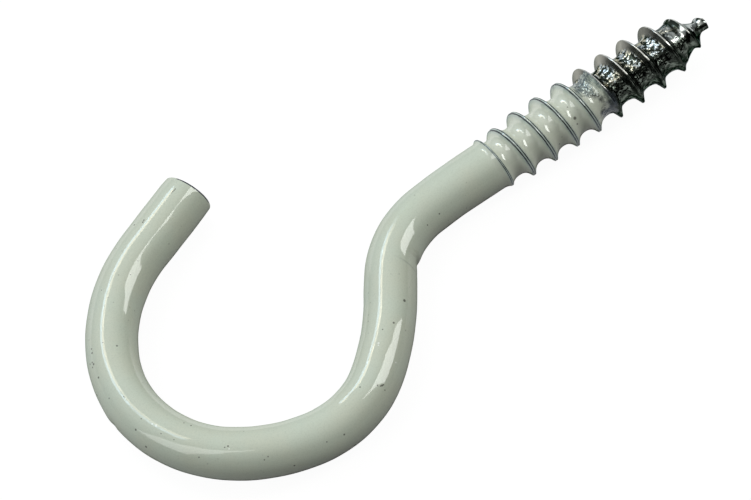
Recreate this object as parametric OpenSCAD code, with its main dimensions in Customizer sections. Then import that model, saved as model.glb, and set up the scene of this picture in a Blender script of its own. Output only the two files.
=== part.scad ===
// Screw hook: one length of round wire, bent to an open hook at one end and
// rolled to a wood-screw thread with a blunt point at the other.
// It lies flat: +X runs along the screw axis to the point, +Y lies on the side
// of the hook's mouth, and +Z is up from the surface that it lies on.

/* [Wire] */
// Diameter of the coated wire along a straight run
wire_d = 4.4; // [3.8:0.1:5]
// Diameter lost round an open bend, and lost twice over round a tight one
bend_thinning = 0.05; // [0.04:0.01:0.1]
// Rounding of the rim at the cut end
rim_round = 0.2; // [0.1:0.1:1]

/* [Straight runs] */
// Plain shank between the thread and the first bend
shank_len = 1.6; // [1:0.1:12]
// Straight run after the neck
neck_run = 2.2; // [0.6:0.2:5]
// Straight run up to the cut end
end_run = 6.5; // [2:0.1:10]

/* [Bends, from the screw to the cut end, by centre radius and turn] */
// Radius of the slight bend that leads into the neck
lead_r = 44; // [32:1:60]
// Turn of the lead-in bend
lead_turn = 5.6; // [2:0.1:10]
// Radius of the neck, which swings the hook off the screw axis
neck_r = 8.1; // [6.5:0.1:10]
// Turn of the neck
neck_turn = 49.3; // [40:0.1:60]
// Radius of the hook's back, which leans out from the neck
back_r = 23.5; // [18:0.5:28]
// Turn of the back
back_turn = 17.1; // [10:0.1:25]
// Radius of the heel
heel_r = 8.8; // [7.5:0.1:11]
// Turn of the heel
heel_turn = 49.6; // [40:0.1:60]
// Radius of the flank between the heel and the seat
flank_r = 14.1; // [13:0.1:17]
// Turn of the flank
flank_turn = 29.6; // [20:0.1:40]
// Radius of the seat, where a load hangs
seat_r = 11; // [9:0.1:12.5]
// Turn of the seat
seat_turn = 74.6; // [65:0.1:85]
// Radius of the toe, which opens out towards the cut end
toe_r = 14.2; // [13:0.1:17]
// Turn of the toe
toe_turn = 43.2; // [35:0.1:50]

/* [Thread] */
// Length from the thread's first turn to the point
thread_len = 22.7; // [16:0.1:30]
// Advance of the thread in one turn
pitch = 2.22; // [1.6:0.02:2.8]
// Diameter over the crests
crest_d = 5.4; // [5:0.1:6]
// Diameter at the root
core_d = 3.7; // [2.8:0.1:3.8]
// Length over which the crest grows out of the wire
crest_runin = 2.8; // [1.5:0.1:5]
// Length over which the root sinks into the wire
core_runin = 2; // [1:0.1:4]
// Length over which the crest dies away at the point
crest_runout = 5.8; // [4:0.1:7]
// Length over which the core tapers to the point
core_runout = 3.1; // [2:0.1:5]
// Length of the bare nib at the point
nib_len = 0.7; // [0.3:0.1:1.5]
// Diameter of the blunt point
point_d = 1; // [0.6:0.1:1.6]

/* [Hidden] */
$fn = 64;

wire_r = wire_d / 2;
crest_r = crest_d / 2;
core_r = core_d / 2;
point_r = point_d / 2;

// Overlap by which a thinner piece of wire enters its thicker neighbour
lap = 0.1;
// The thread starts this much inside the wire's surface
thread_inset = 0.03;
// Facets in one turn of the thread
columns = 28;
// Thread profile: share of the pitch past the crest, share of the thread's depth
PROFILE = [[0, 1], [0.07, 0.9], [0.25, 0.12], [0.45, 0], [0.75, 0.12], [0.93, 0.9]];
// Spacing of the centreline points that give the hook's overall box
sample_step = 0.1;

// Thinning of the wire in a bend, as a number of steps of bend_thinning
OPEN = 1;
TIGHT = 2;

// A piece of wire is [bend radius, turn to the left, length along its centre, thinning steps]
function straight(length) = [0, 0, length, 0];
function bend(radius, turn, steps) = [radius, turn, radius * abs(turn) * PI / 180, steps];

PIECES = [
    straight(shank_len),
    bend(lead_r, lead_turn, OPEN),
    bend(neck_r, neck_turn, TIGHT),
    straight(neck_run),
    bend(back_r, -back_turn, OPEN),
    bend(heel_r, -heel_turn, TIGHT),
    bend(flank_r, -flank_turn, OPEN),
    bend(seat_r, -seat_turn, TIGHT),
    bend(toe_r, -toe_turn, OPEN),
    straight(end_run)
];
last = len(PIECES) - 1;

function piece_radius(i) = PIECES[i][0];
function piece_turn(i) = PIECES[i][1];
function piece_length(i) = PIECES[i][2];

// Wire draws thinner round a bend, so no two pieces that meet are equally thick
function piece_d(i) = wire_d - PIECES[i][3] * bend_thinning;

// A piece enters each neighbour that is thicker than itself
function entry(i, neighbour) =
    neighbour >= 0 && neighbour <= last && piece_d(i) < piece_d(neighbour) ? lap : 0;

// Place and heading, [x, y, heading], at a distance s along a piece that starts at a pose
function along(pose, i, s) =
    let (side = sign(piece_turn(i)), r = piece_radius(i), turned = side == 0 ? 0 : side * s / r * 180 / PI)
    side == 0
        ? [pose.x + s * cos(pose.z), pose.y + s * sin(pose.z), pose.z]
        : [pose.x + side * r * (sin(pose.z + turned) - sin(pose.z)),
           pose.y - side * r * (cos(pose.z + turned) - cos(pose.z)),
           pose.z + turned];

// The wire leaves the thread's start along -X
function start_pose(i) =
    i == 0 ? [0, 0, 180] : along(start_pose(i - 1), i - 1, piece_length(i - 1));

// The hook's box, from the wire's edges along its centreline, as far as the rim's rounding
function full_length(i) = piece_length(i) - (i == last ? rim_round : 0);
EDGES = [
    for (i = [0 : last], s = [0 : sample_step : full_length(i)])
        let (p = along(start_pose(i), i, s), r = piece_d(i) / 2)
        [p.x - r * abs(sin(p.z)), p.y - r * abs(cos(p.z)), p.y + r * abs(cos(p.z))]
];
low_x = min([for (e = EDGES) e[0]]);
low_y = min([for (e = EDGES) e[1]]);
high_y = max([for (e = EDGES) e[2]]);
box_centre = [(low_x + thread_len) / 2, (low_y + high_y) / 2];

function unit(t) = max(0, min(1, t));
function smooth(t) = unit(t) * unit(t) * (3 - 2 * unit(t));

// Radius of the crest and of the root at a distance x from the thread's start
start_r = wire_r - thread_inset;
function crest_at(x) =
    let (left = unit((thread_len - x) / crest_runout),
         grown = start_r + (crest_r - start_r) * smooth(x / crest_runin))
    point_r + (grown - point_r) * (1 - pow(1 - left, 2));
function core_at(x) =
    let (left = unit((thread_len - nib_len - x) / (core_runout - nib_len)),
         sunk = start_r + (core_r - start_r) * smooth(x / core_runin))
    point_r + (sunk - point_r) * left;

// One point of the helical grid: column i, profile row k, held between the thread's two ends
first_column = -2 * columns;
last_column = ceil(thread_len / pitch + 1) * columns;
rows = len(PROFILE);
function grid_point(i, k) =
    let (x = max(0, min(thread_len, pitch * (i / columns + PROFILE[k][0]))),
         angle = 360 * ((i - first_column) % columns) / columns,
         r = core_at(x) + (crest_at(x) - core_at(x)) * PROFILE[k][1])
    [x, r * cos(angle), r * sin(angle)];

// Row number `rows` of a column is the first row of the same column one turn on
function grid_index(i, k) =
    k < rows ? (i - first_column) * rows + k : (i + columns - first_column) * rows;

function has_area(face, points) =
    points[face[0]] != points[face[1]] &&
    points[face[1]] != points[face[2]] &&
    points[face[2]] != points[face[0]];

// Rolled thread as one solid, from its flat start at x = 0 to the blunt point
module thread() {
    points = [
        for (i = [first_column : last_column + columns], k = [0 : rows - 1]) grid_point(i, k)
    ];
    sides = [
        for (i = [first_column : last_column - 1], k = [0 : rows - 1])
            let (a = grid_index(i, k), b = grid_index(i, k + 1),
                 c = grid_index(i + 1, k + 1), d = grid_index(i + 1, k))
            each [[a, b, c], [a, c, d]]
    ];
    start_cap = [for (j = [0 : columns - 1]) grid_index(first_column + j, 0)];
    point_cap = [for (j = [columns - 1 : -1 : 0]) grid_index(last_column + j, 0)];
    polyhedron(points, [start_cap, point_cap, each [for (face = sides) if (has_area(face, points)) face]]);
}

// A straight piece along +X, with its overlap at either end
module straight_piece(i) {
    before = entry(i, i - 1);
    after = entry(i, i + 1);
    translate([-before, 0, 0])
        rotate([0, 90, 0])
            cylinder(d = piece_d(i), h = piece_length(i) + before + after);
}

// A bent piece that leaves the origin along +X, with its overlap at either end
module bent_piece(i) {
    side = sign(piece_turn(i));
    r = piece_radius(i);
    before = side * entry(i, i - 1) / r * 180 / PI;
    after = side * entry(i, i + 1) / r * 180 / PI;
    translate([0, side * r, 0])
        rotate([0, 0, -90 * side])
            rotate_extrude(angle = piece_turn(i) + before + after, start = -before)
                translate([r, 0])
                    circle(d = piece_d(i));
}

// The last straight piece, with its rim rounded
module end_piece(i) {
    r = piece_d(i) / 2;
    rotate([0, 90, 0])
        rotate_extrude() {
            square([r - rim_round, piece_length(i)]);
            square([r, piece_length(i) - rim_round]);
            intersection() {
                translate([r - rim_round, piece_length(i) - rim_round])
                    circle(r = rim_round);
                translate([r - rim_round, piece_length(i) - rim_round])
                    square(rim_round);
            }
        }
}

module screw_hook() {
    color("gainsboro")
        translate([-box_centre.x, -box_centre.y, crest_r]) {
            thread();
            for (i = [0 : last]) {
                pose = start_pose(i);
                translate([pose.x, pose.y, 0])
                    rotate([0, 0, pose.z])
                        if (i == last) end_piece(i);
                        else if (piece_turn(i) == 0) straight_piece(i);
                        else bent_piece(i);
            }
        }
}

screw_hook();
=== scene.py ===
"""Looks of the screw hook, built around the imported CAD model.

Lengths are in millimetres until a mesh or a lamp is made, and angles are in degrees.
A place on the wire is its distance from the thread's start towards the cut end, and an
angle round the wire: 0 faces +Y at the thread and the inside of the hook, 90 faces up.
"""
import math

import bmesh
import bpy
import numpy as np
from mathutils import Matrix, Vector


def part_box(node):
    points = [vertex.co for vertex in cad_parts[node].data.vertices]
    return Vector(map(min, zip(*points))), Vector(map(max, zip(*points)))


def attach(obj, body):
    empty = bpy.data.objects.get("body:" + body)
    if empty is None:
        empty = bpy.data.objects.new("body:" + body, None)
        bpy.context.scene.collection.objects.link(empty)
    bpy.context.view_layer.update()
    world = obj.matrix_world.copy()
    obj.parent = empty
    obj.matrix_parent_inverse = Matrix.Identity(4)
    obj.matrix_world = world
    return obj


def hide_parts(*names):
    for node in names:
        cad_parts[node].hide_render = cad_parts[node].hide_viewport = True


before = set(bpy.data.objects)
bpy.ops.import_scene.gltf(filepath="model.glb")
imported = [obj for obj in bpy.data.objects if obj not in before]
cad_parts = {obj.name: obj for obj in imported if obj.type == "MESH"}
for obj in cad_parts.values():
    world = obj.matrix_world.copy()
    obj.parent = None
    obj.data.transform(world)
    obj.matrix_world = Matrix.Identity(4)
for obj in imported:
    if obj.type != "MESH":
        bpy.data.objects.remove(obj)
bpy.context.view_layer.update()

MM = 0.001

# ---------------------------------------------------------------- camera

CAMERA_AZIMUTH = 23.6      # heading of the view over the ground, from +Y towards +X
CAMERA_ELEVATION = 59.0
CAMERA_ROLL = 13.0         # turns the picture's content counter-clockwise
CAMERA_DISTANCE = 600.0
CAMERA_AIM = (-3.91, -1.19, -0.10)   # from the centre of the object's box
LENS = 351.1               # focal length on a sensor 36 mm wide


def heading(azimuth, elevation):
    """Unit vector that points at an azimuth from +Y towards +X and at an elevation."""
    a, e = math.radians(azimuth), math.radians(elevation)
    return Vector((math.sin(a) * math.cos(e), math.cos(a) * math.cos(e), math.sin(e)))


def add_camera(centre):
    data = bpy.data.cameras.new("camera")
    data.lens = LENS
    data.sensor_width = 36
    data.clip_start = 0.01
    data.clip_end = 100
    camera = bpy.data.objects.new("camera", data)
    bpy.context.scene.collection.objects.link(camera)
    forward = heading(CAMERA_AZIMUTH, -CAMERA_ELEVATION)
    level = Vector((forward.y, -forward.x, 0)).normalized()
    upright = level.cross(forward)
    roll = math.radians(CAMERA_ROLL)
    right = level * math.cos(roll) - upright * math.sin(roll)
    up = level * math.sin(roll) + upright * math.cos(roll)
    turn = Matrix((right, up, -forward)).transposed().to_4x4()
    place = centre + Vector(CAMERA_AIM) * MM - forward * CAMERA_DISTANCE * MM
    camera.matrix_world = Matrix.Translation(place) @ turn
    bpy.context.scene.camera = camera


# ---------------------------------------------------------------- sizes, as in the part's source

WIRE_R = 2.2
BEND_THINNING = 0.05       # of the diameter, for each step
RIM_ROUND = 0.2
# bend radius (0 is straight), turn to the left or length, thinning steps
CHAIN = [
    (0, 1.6, 0),           # shank
    (44, 5.6, 1),          # lead-in
    (8.1, 49.3, 2),        # neck
    (0, 2.2, 0),           # run after the neck
    (23.5, -17.1, 1),      # back
    (8.8, -49.6, 2),       # heel
    (14.1, -29.6, 1),      # flank
    (11, -74.6, 2),        # seat
    (14.2, -43.2, 1),      # toe
    (0, 6.5, 0),           # run up to the cut end
]
THREAD_LEN = 22.7
PITCH = 2.22
CREST_R = 2.7
CORE_R = 1.85
POINT_R = 0.5
CREST_RUNOUT = 5.8
CORE_RUNOUT = 3.1
NIB_LEN = 0.7

COLUMNS = 128              # facets round the wire
RING_STEP = 0.24           # spacing of the rings along the wire
CREASE_PLACE = 11.2        # about which the rings close up
CREASE_LEN = 1.2


def unit(t):
    """t held between 0 and 1."""
    return np.clip(t, 0, 1)


def smooth(t):
    """t held between 0 and 1 and eased at both ends."""
    return unit(t) ** 2 * (3 - 2 * unit(t))


def rise(x, start, length):
    """Eased step from 0 at the start to 1 a length further on."""
    return smooth((x - start) / length)


def bump(x, centre, width):
    """Bell curve of height 1."""
    return np.exp(-(((x - centre) / width) ** 2))


def turned(a, b):
    """Angle from b to a, between -180 and 180."""
    return (a - b + 180) % 360 - 180


def facing(angle, middle, spread):
    """1 on the side that faces the middle angle, dying away over the spread."""
    return bump(turned(angle, middle), 0, spread)


# ---------------------------------------------------------------- centreline

FINE_STEP = 0.05           # between the places at which the centreline is worked out
NUDGE = 1e-9               # keeps the place where a piece ends with that piece
BLEND_LEN = 1.0            # over which one bend eases into the next
THIN_BLEND_LEN = 4.0       # over which the wire's thickness does


def eased(values, length):
    """Values at the wire's fine steps, with each change spread over a length."""
    span = int(length / FINE_STEP) | 1
    kernel = np.hanning(span + 2)[1:-1]
    padded = np.pad(values, span // 2, mode="edge")
    return np.convolve(padded, kernel / kernel.sum(), mode="valid")


class Wire:
    """The bent wire's centreline, with heading and radius, from the thread to the cut end."""

    def __init__(self):
        lengths = []
        curves = []
        for bend_radius, turn, _ in CHAIN:
            lengths.append(bend_radius * math.radians(abs(turn)) if bend_radius else turn)
            curves.append(math.copysign(1 / bend_radius, turn) if bend_radius else 0)
        radii = [WIRE_R - steps * BEND_THINNING / 2 for _, _, steps in CHAIN]
        self.length = sum(lengths)
        self.s = np.arange(0, self.length + FINE_STEP / 2, FINE_STEP)
        piece = np.searchsorted(np.cumsum(lengths), self.s - NUDGE).clip(0, len(CHAIN) - 1)
        self.radius = eased(np.array(radii)[piece], THIN_BLEND_LEN)
        turns = np.cumsum(eased(np.array(curves)[piece], BLEND_LEN)[:-1]) * FINE_STEP
        self.heading = math.pi + np.concatenate([[0], turns])
        step = np.stack([np.cos(self.heading), np.sin(self.heading)], 1) * FINE_STEP
        middle = (step[:-1] + step[1:]) / 2
        self.xy = np.concatenate([[[0, 0]], np.cumsum(middle, axis=0)])
        self.low_y = (self.xy[:, 1] - self.radius * abs(np.cos(self.heading))).min()

    def at(self, s):
        """x, y, heading and radius at a distance along the wire."""
        tracks = (self.xy[:, 0], self.xy[:, 1], self.heading, self.radius)
        return [np.interp(s, self.s, track) for track in tracks]

    def point(self, s, angle, radius):
        """Place at a distance, an angle round the wire and a radius from its centreline."""
        x, y, h, _ = self.at(s)
        a = np.radians(angle)
        out = radius * np.cos(a)
        return np.stack([x + out * np.sin(h), y - out * np.cos(h), radius * np.sin(a)], -1)


# ---------------------------------------------------------------- wire surface

# dents and bumps: place, angle, half-length, half-angle, height
MARKS = [
    (10.9, 184, 0.2, 28, -0.1),       # crease inside the neck
    (11.25, 184, 0.55, 28, -0.11),
    (10.6, 154, 0.12, 16, -0.035),    # wrinkles that run up from it
    (11.15, 152, 0.1, 15, -0.03),
    (46.95, 186, 0.7, 24, 0.06),      # slight swelling outside the bend
    (46.25, 188, 0.22, 24, -0.06),
]
# gentle unevenness of the coat: height, radians a millimetre, waves round the wire
SWAYS = [(0.006, 0.9, 2), (0.005, 2.3, -1)]
SWAY_RUNIN = 2             # over which it comes in from the thread
END_TAPER_LEN = 1.5
END_TAPER = 0.05           # of the radius, lost before the rim
CUT_SLANT = 0.08           # how far one side of the cut stands beyond its centre
CUT_LEAN = 0.13            # how far its top stands behind
CUT_RUN = 1                # of the wire, over which both come in
CUT_CROWN = 0.05           # how far the cut swells towards its middle
CUT_TIP = 0.055            # how far its very middle stands out
CUT_RINGS = (0.85, 0.6, 0.3)         # rings across the cut, as shares of its radius
RIM_STEPS = 8              # facets in the rim's rounding
RIM_DARK_START = 0.15      # share of the rounding before the rim is dark
RIM_ANGLE = 55             # middle of the part of the rim that is dark
RIM_SPREAD = 60
DULL_PLACE = 7.9           # a duller patch of the coat
DULL_LEN = 1.9
DULL_ANGLE = 80
DULL_SPREAD = 16
WRINKLE = (12.45, 142, 0.0125)       # in the coat at the crease: place, angle, slope per degree
WRINKLE_SHAPE = (0.09, 144, 30)      # half-width, middle angle, half-angle
TOP_ANGLE = 90
SIDE_START = 40            # from the top, where the gloss starts to fall
SIDE_BLEND = 18


def side_mask(angle):
    """1 on the sides and the underside, where the coat is less glossy."""
    return rise(abs(turned(angle, TOP_ANGLE)), SIDE_START, SIDE_BLEND)


def wrinkle_mask(s, angle):
    """1 along the wrinkle that runs up from the crease, which is darkened with painted shade."""
    place, at_angle, slope = WRINKLE
    half_width, middle, half_angle = WRINKLE_SHAPE
    line = place - (at_angle - angle) * slope
    return bump(s, line, half_width) * facing(angle, middle, half_angle)


def wire_radius(wire, s, angle):
    """Distance from the centreline to the coat's surface."""
    r = wire.at(s)[3]
    for place, middle, half_len, half_angle, height in MARKS:
        r = r + height * bump(s, place, half_len) * facing(angle, middle, half_angle)
    sway = sum(height * np.sin(s * rate + np.radians(angle) * waves) for height, rate, waves in SWAYS)
    r = r + sway * rise(s, 0, SWAY_RUNIN)
    return r - END_TAPER * unit(1 - (wire.length - s) / END_TAPER_LEN) ** 2


def ring_places(end):
    """Places of the rings along the wire, closer together about the crease in the neck."""
    fine = FINE_STEP / 10
    s = np.arange(0, end, fine)
    closeness = bump(s, CREASE_PLACE, CREASE_LEN)
    density = (1 - closeness) / RING_STEP + closeness / FINE_STEP
    count = np.cumsum(density) * fine
    whole = np.linspace(count[0], count[-1], int(count[-1]))
    return np.interp(whole, count, s)


def ring_sections(wire, body_end):
    """Every ring's place, share of the radius and inset, from the thread to the cut end."""
    sections = [(s, 1.0, 0.0) for s in ring_places(body_end)]
    for turn in np.linspace(0, 90, RIM_STEPS + 1)[1:]:
        t = math.radians(turn)
        sections.append((body_end + RIM_ROUND * math.sin(t), 1.0, RIM_ROUND * (1 - math.cos(t))))
    for share in CUT_RINGS:
        sections.append((wire.length + CUT_CROWN * (1 - share ** 2), share, RIM_ROUND))
    return sections


def wire_rings(wire):
    """Rings of points from the thread's start to the middle of the cut end, and their marks."""
    angle = np.arange(COLUMNS) * 360 / COLUMNS
    a = np.radians(angle)
    end_heading = wire.at(wire.length)[2]
    body_end = wire.length - RIM_ROUND
    rings = []
    marks = []
    for s, share, inset in ring_sections(wire, body_end):
        here = min(s, wire.length)
        r = (wire_radius(wire, here, angle) - inset) * share
        slant = CUT_SLANT * np.cos(a) - CUT_LEAN * np.sin(a)
        beyond = rise(s, body_end - CUT_RUN, CUT_RUN) * share * slant + (s - here)
        ring = wire.point(np.full(COLUMNS, here), angle, r)
        ring[:, 0] += beyond * math.cos(end_heading)
        ring[:, 1] += beyond * math.sin(end_heading)
        rings.append(ring)
        on_rim = s > body_end + RIM_DARK_START * RIM_ROUND and share == 1
        marks.append({
            "coat": np.ones(COLUMNS),
            "rim": facing(angle, RIM_ANGLE, RIM_SPREAD) * on_rim,
            "side": side_mask(angle),
            "wrinkle": wrinkle_mask(s, angle),
            "dull": bump(s, DULL_PLACE, DULL_LEN) * facing(angle, DULL_ANGLE, DULL_SPREAD),
        })
    return rings, marks


# ---------------------------------------------------------------- thread surface

# the thread starts as a ring and becomes a helix; places and lengths are in turns
RING_END = 0.08            # at which the ring starts to become the helix
RING_TURN = 1.0            # over which it does
RING_EASE = 0.31           # half the share of its advance that the ring lacks
FIRST_CREST_R = 2.41
CREST_START = (-0.45, 0.5)           # start and length of the crest's rise from the wire
CREST_GROWTH = (0.95, 0.55)          # and of its rise to full height
ROOT_START = (-0.5, 0.7)             # of the groove's fall from the wire
GROOVE_START = (-0.55, 0.35)         # of the change to the groove's profile
SHINE_START = (-0.4, 0.4)            # of the crest's wear
# distance from the thread's start at which the coat ends, and where it runs on further
PAINT_END = 10.75
PAINT_BLEND = 1.5          # over which the groove goes from the coat's profile to the metal's
PAINT_FADE = 3.4           # over which the coat thins out
PAINT_SWAY = -0.55         # times the cosine of the angle
PAINT_RUN = (138, 26, 0.8)           # middle angle, half-angle, length
PAINT_DEPTH = 0.06         # of the coat in the groove
PAINT_SAG = 0.05           # how much thicker it is on one side, and how far the metal is off centre
PAINT_SAG_ANGLE = 209
LOBE_ANGLE = 22            # side on which the bare flanks are pale
LOBE_SPREAD = 34
LOBE_FADE = 0.8            # of their paleness, lost towards the point
LOBE_FADE_START = 14.5
LOBE_FADE_LEN = 5
LOBE_LOSS = 0.9            # the coat ends this much earlier there
FILM_ANGLE = 85            # a thin film runs on over one side of the next crest
FILM_SPREAD = 50
FILM_RUN = 1.2
FILM_START = (0.62, 0.2)             # share of the turn past the crest, and its length
# worn lines beside a crest, in turns: place on the coat (0 on bare metal), half-width on bare
# metal, and how much narrower they are on the coat
EDGE_LINE = (0.045, 0.028, 0.004)
# shares of the groove's height
THIN_SHARE = (0.45, 0.5)             # start and length of the coat's thinning
ROOT_SHARE = (0.02, 0.5, 0.35)       # of the rough root's fading, and how much shorter on a lobe
SHADE = (180, 76, 26)                # painted shade on the lower side of the bare thread and of the wash: middle angle, half-angle, blend
POLISH = (18, 2.5)                   # start and length of the polish at the point
ROLLED_LEN = 1.5           # over which the shank's coat becomes the thread's
TIP_CROWN = 0.04           # how far the point swells beyond its last ring
# profile of the groove: share of a turn past the crest, share of the thread's depth
METAL = [
    (0, 1), (0.025, 0.995), (0.042, 0.95), (0.064, 0.82), (0.13, 0.48), (0.2, 0.16), (0.25, 0.05),
    (0.3, 0), (0.7, 0), (0.75, 0.05), (0.8, 0.16), (0.87, 0.48), (0.936, 0.82), (0.958, 0.95),
    (0.975, 0.995), (1, 1),
]
PAINT = [
    (0, 0.965), (0.02, 0.975), (0.038, 0.99), (0.055, 0.96), (0.08, 0.84), (0.15, 0.52),
    (0.22, 0.31), (0.3, 0.14), (0.4, 0.03), (0.5, 0), (0.6, 0.01), (0.7, 0.1), (0.78, 0.26),
    (0.85, 0.48), (0.92, 0.84), (0.945, 0.96), (0.962, 0.99), (0.98, 0.975), (1, 0.965),
]
# rows of points across the groove, in turns past the crest
ROWS = [
    0, 0.014, 0.027, 0.04, 0.053, 0.067, 0.085, 0.11, 0.15, 0.19, 0.22, 0.26, 0.3, 0.36, 0.45,
    0.55, 0.64, 0.7, 0.74, 0.78, 0.81, 0.85, 0.89, 0.915, 0.933, 0.947, 0.96, 0.973, 0.986,
]


def eased_profile(points, u):
    """Cubic curve through a profile's points."""
    x, y = np.array(points).T
    slope = np.gradient(y, x)
    i = np.searchsorted(x, u, side="right").clip(1, len(x) - 1) - 1
    w = x[i + 1] - x[i]
    t = (u - x[i]) / w
    return ((2 * t ** 3 - 3 * t ** 2 + 1) * y[i] + (t ** 3 - 2 * t ** 2 + t) * w * slope[i]
            + (3 * t ** 2 - 2 * t ** 3) * y[i + 1] + (t ** 3 - t ** 2) * w * slope[i + 1])


def axial(turn):
    """Distance from the thread's start at which the helix has made a number of turns."""
    before = RING_END + RING_TURN - turn
    return PITCH * (turn + RING_EASE * (unit(before) ** 2 + 2 * np.maximum(0, before - 1)))


def crest_radius(turn, x):
    """Over the crest, at a turn of the helix and its distance from the thread's start."""
    grown = FIRST_CREST_R + (CREST_R - FIRST_CREST_R) * rise(turn, *CREST_GROWTH)
    started = WIRE_R + (grown - WIRE_R) * rise(turn, *CREST_START)
    left = unit((THREAD_LEN - x) / CREST_RUNOUT)
    return POINT_R + (started - POINT_R) * (1 - (1 - left) ** 2)


def root_radius(turn, x, painted, angle):
    """At the bottom of the groove; the turn is that of the crest on its shank side."""
    sag = PAINT_SAG * np.cos(np.radians(turned(angle, PAINT_SAG_ANGLE)))
    full = CORE_R + sag + painted * (PAINT_DEPTH + sag)
    sunk = WIRE_R + (full - WIRE_R) * rise(turn, *ROOT_START)
    left = unit((THREAD_LEN - NIB_LEN - x) / (CORE_RUNOUT - NIB_LEN))
    return POINT_R + (sunk - POINT_R) * left


def coat_end(angle):
    """Distance from the thread's start at which the coat ends on one side."""
    middle, half_angle, run = PAINT_RUN
    sway = PAINT_SWAY * np.cos(np.radians(angle))
    return PAINT_END + sway + run * facing(angle, middle, half_angle)


def thread_marks(u, helix, inside, angle, share, painted):
    """Masks for the material, one value for each point of the helical grid."""
    grown = rise(helix, *SHINE_START)
    faded = LOBE_FADE * rise(inside, LOBE_FADE_START, LOBE_FADE_LEN)
    lobe = facing(angle, LOBE_ANGLE, LOBE_SPREAD) * (1 - faded)
    film = facing(angle, FILM_ANGLE, FILM_SPREAD) * FILM_RUN - lobe * LOBE_LOSS
    film = rise(u, *FILM_START) * film
    line, line_width, narrower = EDGE_LINE
    edge = bump(np.minimum(u, 1 - u), line * painted, line_width - narrower * painted)
    root_end, root_blend, lobe_part = ROOT_SHARE
    root_blend = root_blend - lobe_part * np.maximum(lobe, painted)
    middle, half_angle, blend = SHADE
    shaded = turned(angle, middle)
    return {
        "coat": unit((coat_end(angle) + film - inside) / PAINT_FADE + 0.5),
        "edge": edge * grown * (1 - lobe * (1 - painted)),
        "thin": rise(share, *THIN_SHARE) * grown,
        "root": 1 - rise(share, root_end, root_blend),
        "shade": rise(shaded, -half_angle, blend) * rise(-shaded, -half_angle, blend),
        "polish": rise(inside, *POLISH),
        "lobe": lobe,
        "side": side_mask(angle),
        "rolled": rise(inside, 0, ROLLED_LEN),
    }


def thread_grid():
    """Points of the helical grid, one row per place in the groove, and their marks."""
    first = -2 * COLUMNS
    last = int(math.ceil((THREAD_LEN / PITCH + 1) * COLUMNS))
    column = np.arange(first, last + 1)
    u = np.array(ROWS)
    turn = (column / COLUMNS)[:, None]
    angle = ((column % COLUMNS) * 360 / COLUMNS)[:, None] + 0 * u
    helix = turn + u
    x = axial(helix)
    inside = x.clip(0, THREAD_LEN)
    painted = unit((coat_end(angle) - inside) / PAINT_BLEND + 0.5)
    share = eased_profile(METAL, u) * (1 - painted) + eased_profile(PAINT, u) * painted
    lead = 1 - rise(turn, *GROOVE_START)
    share = share * (1 - lead) + u ** 3 * lead
    root = root_radius(turn, inside, painted, angle)
    r = root + (crest_radius(helix, inside) - root) * share
    r = np.where(x <= 0, WIRE_R, r)
    a = np.radians(angle)
    points = np.stack([inside, r * np.cos(a), r * np.sin(a)], -1)
    return points, thread_marks(u, helix, inside, angle, share, painted)


# ---------------------------------------------------------------- mesh

MERGE_DIST = 2e-4          # points this close are one
SHORTEST_EDGE = 1e-5


def grid_faces(columns, rows):
    """Faces of the helical grid, in which a column ends where the one a turn on starts."""
    def grid(i, k):
        return i * rows + k if k < rows else (i + COLUMNS) * rows

    faces = []
    for i in range(columns - COLUMNS - 1):
        for k in range(rows):
            faces.append((grid(i, k), grid(i, k + 1), grid(i + 1, k + 1), grid(i + 1, k)))
    tip = columns * rows
    last_column = columns - 1 - COLUMNS
    for i in range(last_column, last_column + COLUMNS):
        faces.append((grid(i, 0), tip, grid(i + 1, 0)))
    return faces


def ring_faces(base, count):
    """Faces between the rings and from the last ring to the middle of the cut."""
    faces = []
    for j in range(count - 1):
        a = base + j * COLUMNS
        b = a + COLUMNS
        for c in range(COLUMNS):
            d = (c + 1) % COLUMNS
            faces.append((a + c, b + c, b + d, a + d))
    a = base + (count - 1) * COLUMNS
    middle = base + count * COLUMNS
    for c in range(COLUMNS):
        faces.append((a + c, middle, a + (c + 1) % COLUMNS))
    return faces


def write_marks(mesh, marks, ring_marks, base, middle):
    """Stores each mask on the mesh's points, as 0 where the thread or the wire has none."""
    for name in sorted(set(marks) | set(ring_marks[0])):
        held = np.zeros(len(mesh.vertices), dtype=np.float32)
        if name in marks:
            held[:base - 1] = marks[name].ravel()
        if name in ring_marks[0]:
            held[base:middle] = np.concatenate([m[name] for m in ring_marks])
        held[middle] = name == "coat"
        layer = mesh.attributes.new(name, "FLOAT", "POINT")
        layer.data.foreach_set("value", held)


def merge(mesh):
    """Joins points that coincide and drops faces without area."""
    work = bmesh.new()
    work.from_mesh(mesh)
    bmesh.ops.remove_doubles(work, verts=work.verts, dist=MERGE_DIST * MM)
    bmesh.ops.dissolve_degenerate(work, edges=work.edges, dist=SHORTEST_EDGE * MM)
    loose = [v for v in work.verts if not v.link_faces]
    bmesh.ops.delete(work, geom=loose, context="VERTS")
    bmesh.ops.recalc_face_normals(work, faces=work.faces)
    work.to_mesh(mesh)
    work.free()


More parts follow.
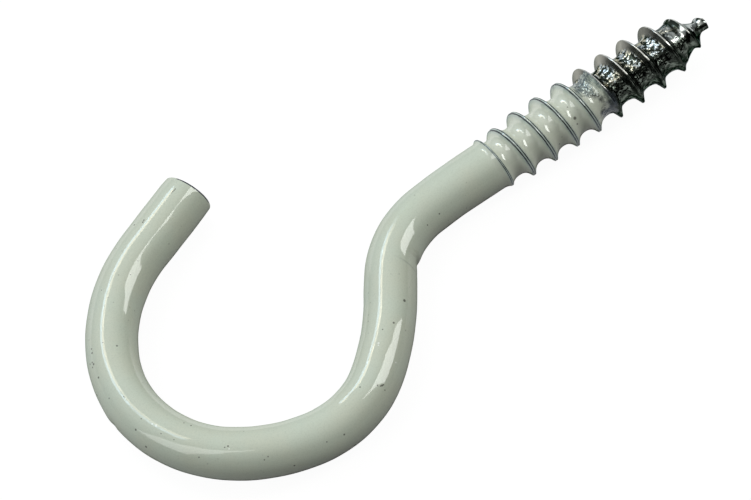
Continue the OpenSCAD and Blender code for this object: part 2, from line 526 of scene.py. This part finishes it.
def build_hook(wire, start):
    """One closed mesh: helical grid for the thread, rings for the wire, fans for the two ends."""
    points, marks = thread_grid()
    columns, rows = points.shape[:2]
    rings, ring_marks = wire_rings(wire)
    base = columns * rows + 1
    middle = base + len(rings) * COLUMNS
    end_heading = wire.at(wire.length)[2]
    x, y = wire.xy[-1] + CUT_TIP * np.array([math.cos(end_heading), math.sin(end_heading)])
    tip = [[THREAD_LEN + TIP_CROWN, 0, 0]]
    verts = np.concatenate([points.reshape(-1, 3), tip, *rings, [[x, y, 0]]])

    mesh = bpy.data.meshes.new("coated_hook")
    faces = grid_faces(columns, rows) + ring_faces(base, len(rings))
    mesh.from_pydata(((verts + np.array(start)) * MM).tolist(), [], faces)
    write_marks(mesh, marks, ring_marks, base, middle)
    merge(mesh)
    mesh.shade_smooth()
    piece = bpy.data.objects.new("coated_hook", mesh)
    bpy.context.scene.collection.objects.link(piece)
    return piece


# ---------------------------------------------------------------- material

# the Mix node's sockets by number, because several share a name
MIX_INPUTS = {"RGBA": (6, 7), "FLOAT": (2, 3)}
MIX_OUTPUT = {"RGBA": 2, "FLOAT": 0}


class Nodes:
    """Short names for making and joining shader nodes."""

    def __init__(self, tree):
        self.tree = tree
        tree.nodes.clear()

    def make(self, kind, **settings):
        node = self.tree.nodes.new(kind)
        for key, value in settings.items():
            setattr(node, key, value)
        return node

    def put(self, socket, value):
        """Links a socket to the value, or sets it where the value is plain."""
        if isinstance(value, bpy.types.NodeSocket):
            self.tree.links.new(value, socket)
        elif value is not None:
            socket.default_value = value

    def math(self, operation, a, b=None, c=None, clamp=False):
        node = self.make("ShaderNodeMath", operation=operation, use_clamp=clamp)
        for socket, value in zip(node.inputs, (a, b, c)):
            self.put(socket, value)
        return node.outputs[0]

    def mix(self, share, a, b, kind="RGBA"):
        """a where the share is 0 and b where it is 1."""
        node = self.make("ShaderNodeMix", data_type=kind)
        self.put(node.inputs["Factor"], share)
        for number, value in zip(MIX_INPUTS[kind], (a, b)):
            self.put(node.inputs[number], value)
        return node.outputs[MIX_OUTPUT[kind]]

    def blend(self, share, a, b):
        return self.mix(share, a, b, kind="FLOAT")

    def times(self, a, b):
        return self.math("MULTIPLY", a, b)

    def most(self, a, b):
        return self.math("MAXIMUM", a, b)

    def line(self, value, slope, start):
        """value * slope + start"""
        return self.math("MULTIPLY_ADD", value, slope, start)

    def ramp(self, value, low, high):
        """Eased step from 0 at the low value to 1 at the high one."""
        node = self.make("ShaderNodeMapRange", interpolation_type="SMOOTHSTEP")
        self.put(node.inputs["Value"], value)
        node.inputs["From Min"].default_value = low
        node.inputs["From Max"].default_value = high
        return node.outputs[0]

    def noise(self, place, size, detail=2, roughness=0.5):
        """size is that of the largest features, in millimetres."""
        node = self.make("ShaderNodeTexNoise")
        self.put(node.inputs["Vector"], place)
        node.inputs["Scale"].default_value = 1 / (size * MM)
        node.inputs["Detail"].default_value = detail
        node.inputs["Roughness"].default_value = roughness
        return node.outputs["Fac"]

    def rim(self, low, high):
        """1 where the surface is seen edge-on."""
        node = self.make("ShaderNodeLayerWeight")
        node.inputs["Blend"].default_value = 0.5
        return self.ramp(node.outputs["Facing"], low, high)

    def attribute(self, name):
        return self.make("ShaderNodeAttribute", attribute_name=name).outputs["Fac"]


# colours of the coat
ENAMEL = (0.65, 0.71, 0.605, 1)
ENAMEL_WARM = (0.665, 0.70, 0.585, 1)
ENAMEL_GRAIN = (0.56, 0.61, 0.51, 1)
ENAMEL_ROLLED = (0.75, 0.77, 0.67, 1)
THIN_COAT = (0.42, 0.53, 0.51, 1)
# painted shade along the wrinkle at the crease
WRINKLE_PAINTED_SHADE = (0.30, 0.34, 0.30, 1)
SPECK = (0.05, 0.05, 0.04, 1)
# painted glints
PAINTED_GLINT = (0.95, 0.98, 0.93, 1)
# of the thin wash of coat at its end
WASH_DARK = (0.14, 0.18, 0.19, 1)
WASH_LIGHT = (0.42, 0.47, 0.43, 1)
# painted shade on the lower side of the wash
WASH_SHADE = (0.05, 0.06, 0.07, 1)
# of steel where the coat is worn through, and of the dark rim of the cut end
EDGE_METAL = (0.04, 0.05, 0.06, 1)
RIM_DARK = (0.02, 0.03, 0.05, 1)
# of the zinc on the bare thread
ZINC_FLANK = (0.025, 0.03, 0.03, 1)
ZINC_FLANK_PALE = (0.50, 0.49, 0.44, 1)
ZINC_ROOT = (0.66, 0.74, 0.78, 1)
ZINC_ROOT_WARM = (0.84, 0.80, 0.64, 1)
ZINC_POLISHED = (0.62, 0.65, 0.64, 1)
ZINC_PIT = (0.04, 0.05, 0.04, 1)
# painted shade on the lower side of the bare thread, in dark and pale flecks
ZINC_PAINTED_SHADE = (0.03, 0.035, 0.03, 1)
ZINC_PAINTED_SHADE_PALE = (0.13, 0.15, 0.13, 1)
ZINC_CREST = (0.80, 0.80, 0.76, 1)

# how strongly each layer covers the enamel
GRAIN_COVER = 0.6
ROLLED_COVER = 0.6
THIN_COVER = 0.7
WRINKLE_COVER = 0.45
SPECK_COVER = 0.8
DUST_COVER = 0.3
PAINTED_GLINT_COVER = 0.9
WASHED_METALLIC = 0.6      # of the wash and the worn lines

# size of the largest features of each pattern
RAGGED_SIZE = 0.9
PATCH_SIZE = 0.5
TONE_SIZE = 3.0
GRAIN_SIZE = 0.13
WASH_SIZE = 0.3
PIT_SIZE = 0.34
FLECK_SIZE = 0.45
TARNISH_SIZE = 0.7
STAIN_SIZE = 1.3
DUST_PATCH_SIZE = 5.0
PEEL_SIZE = 1.4

RAGGEDNESS = 0.7           # of the coat's end
PATCHINESS = 0.5           # of the worn lines
# how far the flecks spread the edge of the painted shade
PAINTED_SHADE_SPREAD = 1.2

# gloss: roughness, and how strong the coat's reflections are
ENAMEL_GLOSS = 0.06
SIDE_GLOSS = 0.3
ZINC_GLOSS = 0.15
FLANK_GLOSS = 0.36
ENAMEL_IOR = 1.7
ENAMEL_SPECULAR = 0.52
SIDE_LOSS = 0.8            # share of the gloss lost on the sides
ROLLED_GLOSS = 0.8         # share that the gloss gains on the thread
EDGE_ON = (0.4, 0.8)       # between which the gloss dies away as the surface turns edge-on
ENAMEL_TINT = (1, 1, 1, 1)
ZINC_RIM_TINT = (0.25, 0.28, 0.27, 1)

# relief
RELIEF_DEPTH = 0.15
PEEL_DEPTH = 0.008         # share of it that the coat's orange peel takes
PIT_DEPTH = (1.1, 0.15)    # more in the rough roots, and everywhere
POLISH_LOSS = 0.85         # share of the pits gone at the point

# specks in the coat: place on the wire (below 0 it is on the thread), angle, radius
SPECKS = [
    (-8.52, 104, 0.09), (-8.52, 137, 0.14), (-8.46, 153, 0.1), (-6.39, 175, 0.1),
    (5.65, 142, 0.07), (7.35, 143, 0.06), (16.05, 129, 0.13), (18.25, 110, 0.09), (19.0, 89, 0.06),
    (23.45, 129, 0.07), (23.55, 127, 0.09), (23.65, 125, 0.07), (23.75, 118, 0.07), (23.7, 138, 0.06),
    (24.6, 88, 0.07), (28.0, 142, 0.08), (29.3, 137, 0.06), (32.0, 165, 0.08), (33.7, 130, 0.06),
    (34.0, 136, 0.06), (36.7, 102, 0.08), (36.95, 105, 0.06), (38.8, 133, 0.06), (40.3, 65, 0.07),
    (41.0, 65, 0.05), (41.0, 112, 0.05), (42.15, 112, 0.05), (42.9, 158, 0.10), (44.1, 136, 0.09),
    (44.2, 109, 0.05), (46.6, 103, 0.06), (47.4, 133, 0.06), (48.6, 167, 0.09), (49.35, 134, 0.09),
    (50.4, 142, 0.07), (50.55, 136, 0.10), (50.75, 139, 0.08), (50.8, 148, 0.06), (51.4, 73, 0.08),
    (51.45, 134, 0.09), (51.8, 134, 0.08), (51.9, 103, 0.06), (56.7, 118, 0.05), (58.6, 66, 0.05),
    (60.1, 65, 0.05), (62.95, 127, 0.08), (63.4, 109, 0.08), (63.6, 110, 0.08), (66.85, 96, 0.05),
    (67.0, 95.5, 0.07), (67.15, 95, 0.07), (67.3, 94.5, 0.06),
]
# painted glints, small bright spots on the coat: place on the wire, angle, radius
PAINTED_GLINTS = [
    (20.3, 87, 0.09), (20.5, 88, 0.06), (21.4, 136, 0.07), (36.6, 108, 0.06), (42.85, 102, 0.09),
    (43.2, 104, 0.07),
]
SPECK_EDGE = (1.3, 0.6)    # radii at which a speck starts and is full
VALLEY_R = 1.95            # of the coat in the thread's valleys
DUST_SPACING = 0.8         # of the finest specks
DUST_RADIUS = 0.07
DUST_EDGE = (1.4, 0.6)


def speck_mask(n, specks, place, wire, start):
    """1 inside a speck and 0 outside."""
    outer, inner = SPECK_EDGE
    found = 0.0
    for s, angle, size in specks:
        surface_r = wire.at(s)[3] if s > 0 else VALLEY_R
        at = wire.point(max(s, 0), angle, surface_r) + np.array(start)
        at[0] -= min(s, 0)
        gap = n.make("ShaderNodeVectorMath", operation="DISTANCE")
        n.put(gap.inputs[0], place)
        gap.inputs[1].default_value = tuple(at * MM)
        here = n.ramp(gap.outputs["Value"], size * MM * outer, size * MM * inner)
        found = n.most(found, here)
    return found


def dust_mask(n, place):
    """1 in scattered specks too fine to place one by one."""
    cells = n.make("ShaderNodeTexVoronoi")
    n.put(cells.inputs["Vector"], place)
    cells.inputs["Scale"].default_value = 1 / (DUST_SPACING * MM)
    radius = DUST_RADIUS / DUST_SPACING
    outer, inner = DUST_EDGE
    dots = n.ramp(cells.outputs["Distance"], radius * outer, radius * inner)
    return n.times(dots, n.ramp(n.noise(place, DUST_PATCH_SIZE, detail=1), 0.45, 0.6))


def enamel_colour(n, place, wire, start):
    """The coat's own colour and what lies over it, with painted shade along the wrinkle and painted
    glints.
    """
    tone = n.ramp(n.noise(place, TONE_SIZE), 0.3, 0.7)
    grain = n.ramp(n.noise(place, GRAIN_SIZE, roughness=0.7), 0.4, 0.75)
    layers = [
        (grain, GRAIN_COVER, ENAMEL_GRAIN),
        (n.attribute("rolled"), ROLLED_COVER, ENAMEL_ROLLED),
        (n.attribute("thin"), THIN_COVER, THIN_COAT),
        (n.attribute("wrinkle"), WRINKLE_COVER, WRINKLE_PAINTED_SHADE),
        (speck_mask(n, SPECKS, place, wire, start), SPECK_COVER, SPECK),
        (dust_mask(n, place), DUST_COVER, SPECK),
        # painted glints
        (speck_mask(n, PAINTED_GLINTS, place, wire, start), PAINTED_GLINT_COVER, PAINTED_GLINT),
    ]
    enamel = n.mix(tone, ENAMEL, ENAMEL_WARM)
    for mask, cover, colour in layers:
        enamel = n.mix(n.times(mask, cover), enamel, colour)
    return enamel


def wash_colour(n, place, patchy):
    """The last thin wash of the coat over the metal, with painted shade on its lower side."""
    streaks = n.ramp(n.noise(place, WASH_SIZE, 3, 0.6), 0.42, 0.6)
    shaded = n.line(patchy, 0.4, n.math("SUBTRACT", n.attribute("shade"), 0.2))
    return n.mix(shaded, n.mix(streaks, WASH_DARK, WASH_LIGHT), WASH_SHADE)


def zinc_colour(n, place, patchy, pits):
    """The bare thread: flanks, rough roots, the polished point, crests, and painted shade on its
    lower side.
    """
    flank = n.mix(n.line(patchy, 0.3, n.attribute("lobe")), ZINC_FLANK, ZINC_FLANK_PALE)
    tarnish = n.ramp(n.noise(place, TARNISH_SIZE), 0.42, 0.58)
    crystals = n.mix(tarnish, ZINC_ROOT, ZINC_ROOT_WARM)
    root = n.mix(n.ramp(pits, 0.53, 0.46), crystals, ZINC_PIT)
    stains = n.ramp(n.noise(place, STAIN_SIZE, roughness=0.6), 0.47, 0.53)
    point = n.mix(stains, ZINC_PIT, ZINC_POLISHED)
    crest = n.ramp(n.line(patchy, 0.4, n.attribute("edge")), 0.45, 0.75)
    # painted shade: the lower side of the bare thread darkened, mottled with flecks
    flecks = n.noise(place, FLECK_SIZE, 3, 0.6)
    painted_shade = n.mix(n.ramp(flecks, 0.45, 0.65), ZINC_PAINTED_SHADE, ZINC_PAINTED_SHADE_PALE)
    spread = n.line(n.math("SUBTRACT", flecks, 0.5), PAINTED_SHADE_SPREAD, n.attribute("shade"))

    zinc = n.mix(n.attribute("root"), flank, root)
    zinc = n.mix(n.attribute("polish"), zinc, point)
    zinc = n.mix(crest, zinc, ZINC_CREST)
    return n.mix(n.ramp(spread, 0.35, 0.65), zinc, painted_shade)


def gloss_level(n):
    """Level of the coat's gloss: less on the sides, none in the dull patch or seen edge-on."""
    level = n.line(n.attribute("side"), -SIDE_LOSS * ENAMEL_SPECULAR, ENAMEL_SPECULAR)
    level = n.times(level, n.line(n.attribute("rolled"), ROLLED_GLOSS, 1.0))
    for loss in (n.attribute("dull"), n.rim(*EDGE_ON)):
        level = n.times(level, n.math("SUBTRACT", 1.0, loss))
    return level


def surface_roughness(n, metal):
    """Of the coat, and of the zinc where the metal shows."""
    smoother = n.most(n.most(n.attribute("root"), n.attribute("polish")), n.attribute("edge"))
    zinc = n.blend(smoother, FLANK_GLOSS, ZINC_GLOSS)
    coat = n.blend(n.attribute("side"), ENAMEL_GLOSS, SIDE_GLOSS)
    return n.blend(metal, coat, zinc)


def surface_relief(n, place, metal, pits):
    """Orange peel in the coat, and pits in the zinc."""
    peel = n.times(n.noise(place, PEEL_SIZE, 1, 0.4), PEEL_DEPTH)
    rough = n.times(pits, n.line(n.attribute("root"), *PIT_DEPTH))
    rough = n.times(rough, n.line(n.attribute("polish"), -POLISH_LOSS, 1.0))
    relief = n.make("ShaderNodeBump")
    relief.inputs["Strength"].default_value = 1.0
    relief.inputs["Distance"].default_value = RELIEF_DEPTH * MM
    n.put(relief.inputs["Height"], n.blend(metal, peel, rough))
    return relief.outputs[0]


def coated_wire(wire, start):
    material = bpy.data.materials.new("coated_wire")
    material.use_nodes = True
    n = Nodes(material.node_tree)
    place = n.make("ShaderNodeTexCoord").outputs["Object"]
    patchy = n.noise(place, PATCH_SIZE)
    pits = n.noise(place, PIT_SIZE, detail=1)

    # where the coat thins out and has gone, with ragged edges
    ragged = n.line(n.noise(place, RAGGED_SIZE, 3, 0.6), RAGGEDNESS, -RAGGEDNESS / 2)
    left = n.math("ADD", n.attribute("coat"), ragged)
    full = n.ramp(left, 0.55, 0.85)
    coated = n.ramp(left, 0.3, 0.4)
    bare = n.math("SUBTRACT", 1.0, coated)
    washed = n.math("SUBTRACT", coated, full)
    metal = n.most(bare, washed)

    # where it is worn through, and the dark rim of the cut end
    worn = n.ramp(n.line(patchy, PATCHINESS, n.attribute("edge")), 0.5, 0.8)
    worn = n.times(worn, coated)
    rim = n.ramp(n.line(patchy, PATCHINESS, n.attribute("rim")), 0.7, 0.85)

    coat = n.mix(full, wash_colour(n, place, patchy), enamel_colour(n, place, wire, start))
    coat = n.mix(n.most(worn, rim), coat, EDGE_METAL)
    coat = n.mix(rim, coat, RIM_DARK)
    colour = n.mix(coated, zinc_colour(n, place, patchy, pits), coat)

    shader = n.make("ShaderNodeBsdfPrincipled")
    n.put(shader.inputs["Base Color"], colour)
    n.put(shader.inputs["Metallic"], n.most(bare, n.times(n.most(worn, washed), WASHED_METALLIC)))
    n.put(shader.inputs["Roughness"], surface_roughness(n, metal))
    shader.inputs["IOR"].default_value = ENAMEL_IOR
    n.put(shader.inputs["Specular Tint"], n.mix(bare, ENAMEL_TINT, ZINC_RIM_TINT))
    shader.inputs["Specular IOR Level"].default_value = ENAMEL_SPECULAR
    n.put(shader.inputs["Specular IOR Level"], gloss_level(n))
    n.put(shader.inputs["Normal"], surface_relief(n, place, metal, pits))
    out = n.make("ShaderNodeOutputMaterial")
    n.put(out.inputs["Surface"], shader.outputs[0])
    return material


# ---------------------------------------------------------------- studio

FLOOR_COLOUR = (0.10, 0.10, 0.10, 1)
FLOOR_GLOW = 0.95          # brings the unshaded floor up to white for the eye and for gloss
FLOOR_SIZE = 12.0          # metres
# soft walls of the studio: direction (azimuth, elevation), narrowness, radiance
WALLS = [
    ((0, 30), 3, (0.51, 0.54, 0.57)),
    ((0, 90), 3, (0.53, 0.53, 0.50)),
    ((-60, 30), 3, (0.26, 0.29, 0.30)),
    ((60, 40), 3, (0.09, 0.10, 0.09)),
]
# windows a metre away: direction, turns about the line of sight, the width and the height,
# width and height in metres, radiance
WINDOWS = {
    "left_window": ((-98.8, 61.0), (17.6, 63.6, -54.8), (0.355, 1.421), (1.72, 1.76, 1.70)),
    "right_window": ((105.3, 49.1), (11.7, 45.9, 28.4), (0.331, 0.874), (3.92, 4.0, 3.87)),
}
# a narrow lamp behind the object, along a line of directions; its lower half is cooler
STRIP_PATH = [
    (9.5, 41.5), (-4, 41.9), (-9.5, 43.2), (-14.5, 45.6), (-21, 50.5), (-28, 57.5), (-34, 71)
]
STRIP_FADE = [0.6, 0.58, 0.57, 0.55, 0.55, 0.36]
STRIP_WIDTH = 7.2          # of each half, in degrees
STRIP_HALVES = [(-3.6, (4.5, 5.8, 6.9)), (3.6, (6.6, 6.0, 4.7))]


def add_lamp(name, place, turn, size, radiance):
    """Rectangular lamp that shines back along its own Z axis; lengths in metres."""
    data = bpy.data.lights.new(name, "AREA")
    data.shape = "RECTANGLE"
    data.size, data.size_y = size
    peak = max(radiance)
    data.color = [c / peak for c in radiance]
    data.energy = peak * math.pi * size[0] * size[1]
    lamp = bpy.data.objects.new(name, data)
    bpy.context.scene.collection.objects.link(lamp)
    lamp.matrix_world = Matrix.Translation(place) @ turn.to_4x4()
    lamp.visible_camera = False


def lamp_turn(towards):
    """Turn of a lamp that lies in a direction and shines back along it."""
    level = Vector((towards.y, -towards.x, 0)).normalized()
    return Matrix((level, level.cross(towards), towards)).transposed()


def add_window(name, direction, turns, size, radiance, centre):
    """Lamp a metre from the object's centre, turned away from facing it squarely."""
    towards = heading(*direction)
    turn = lamp_turn(towards)
    for axis, angle in zip("ZXY", turns):
        turn = turn @ Matrix.Rotation(math.radians(angle), 3, axis)
    add_lamp(name, centre + towards, turn, size, radiance)


def strip_edge(offset):
    """Directions along the narrow lamp, moved up by a number of degrees."""
    path = [heading(*place) for place in STRIP_PATH]
    edge = []
    for before, here, after in zip(path[:1] + path, path, path[1:] + path[-1:]):
        up = here.cross(after - before).normalized()
        if up.z < 0:
            up = -up
        edge.append((here + up * math.tan(math.radians(offset))).normalized())
    return edge


def add_strip(name, first, second, radiance, centre):
    """Part of the narrow lamp, between two directions."""
    towards = (first + second).normalized()
    along = (second - first).normalized()
    across = towards.cross(along)
    size = (2 * math.tan(first.angle(second) / 2), 2 * math.tan(math.radians(STRIP_WIDTH) / 2))
    add_lamp(name, centre + towards, Matrix((along, across, towards)).transposed(), size, radiance)


def add_lamps(centre):
    for name, (direction, turns, size, radiance) in WINDOWS.items():
        add_window(name, direction, turns, size, radiance, centre)
    for offset, radiance in STRIP_HALVES:
        edge = strip_edge(offset)
        for first, second, fade in zip(edge, edge[1:], STRIP_FADE):
            add_strip("strip", first, second, [c * fade for c in radiance], centre)


def add_floor():
    """Matt floor that takes the shadow, and glows for camera, glossy and transmission rays."""
    half = FLOOR_SIZE / 2
    mesh = bpy.data.meshes.new("floor")
    mesh.from_pydata([(-half, -half, 0), (half, -half, 0), (half, half, 0), (-half, half, 0)],
                     [], [(0, 1, 2, 3)])
    floor = bpy.data.objects.new("floor", mesh)
    bpy.context.scene.collection.objects.link(floor)
    material = bpy.data.materials.new("floor")
    material.use_nodes = True
    n = Nodes(material.node_tree)
    rays = n.make("ShaderNodeLightPath").outputs
    seen = n.math("ADD", rays["Is Camera Ray"], rays["Is Glossy Ray"])
    seen = n.math("ADD", seen, rays["Is Transmission Ray"], clamp=True)
    matt = n.make("ShaderNodeBsdfDiffuse")
    matt.inputs["Color"].default_value = FLOOR_COLOUR
    glow = n.make("ShaderNodeEmission")
    n.put(glow.inputs["Strength"], n.math("MULTIPLY", seen, FLOOR_GLOW))
    both = n.make("ShaderNodeAddShader")
    n.put(both.inputs[0], matt.outputs[0])
    n.put(both.inputs[1], glow.outputs[0])
    out = n.make("ShaderNodeOutputMaterial")
    n.put(out.inputs["Surface"], both.outputs[0])
    mesh.materials.append(material)


def add_world():
    """Dark world with soft walls of light."""
    world = bpy.data.worlds.new("studio")
    bpy.context.scene.world = world
    world.use_nodes = True
    n = Nodes(world.node_tree)
    direction = n.make("ShaderNodeTexCoord").outputs["Generated"]
    total = (0, 0, 0, 1)
    for towards, narrowness, radiance in WALLS:
        nearness = n.make("ShaderNodeVectorMath", operation="DOT_PRODUCT")
        n.put(nearness.inputs[0], direction)
        nearness.inputs[1].default_value = heading(*towards)
        lobe = n.math("POWER", n.math("MAXIMUM", nearness.outputs["Value"], 0.0), narrowness)
        added = n.make("ShaderNodeMix", data_type="RGBA", blend_type="ADD")
        n.put(added.inputs["Factor"], lobe)
        n.put(added.inputs[6], total)
        n.put(added.inputs[7], radiance + (1,))
        total = added.outputs[2]
    glow = n.make("ShaderNodeBackground")
    n.put(glow.inputs["Color"], total)
    glow.inputs["Strength"].default_value = 1.0
    out = n.make("ShaderNodeOutputWorld")
    n.put(out.inputs["Surface"], glow.outputs[0])


# ---------------------------------------------------------------- making

low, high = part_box("screw_hook")
add_camera((low + high) / 2)
wire = Wire()
start = (high.x / MM - THREAD_LEN, low.y / MM - wire.low_y, CREST_R)
hook = build_hook(wire, start)
hook.data.materials.append(coated_wire(wire, start))
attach(hook, "root")
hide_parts("screw_hook")

add_floor()
add_world()
add_lamps((low + high) / 2)
bpy.context.scene.view_settings.view_transform = "Standard"
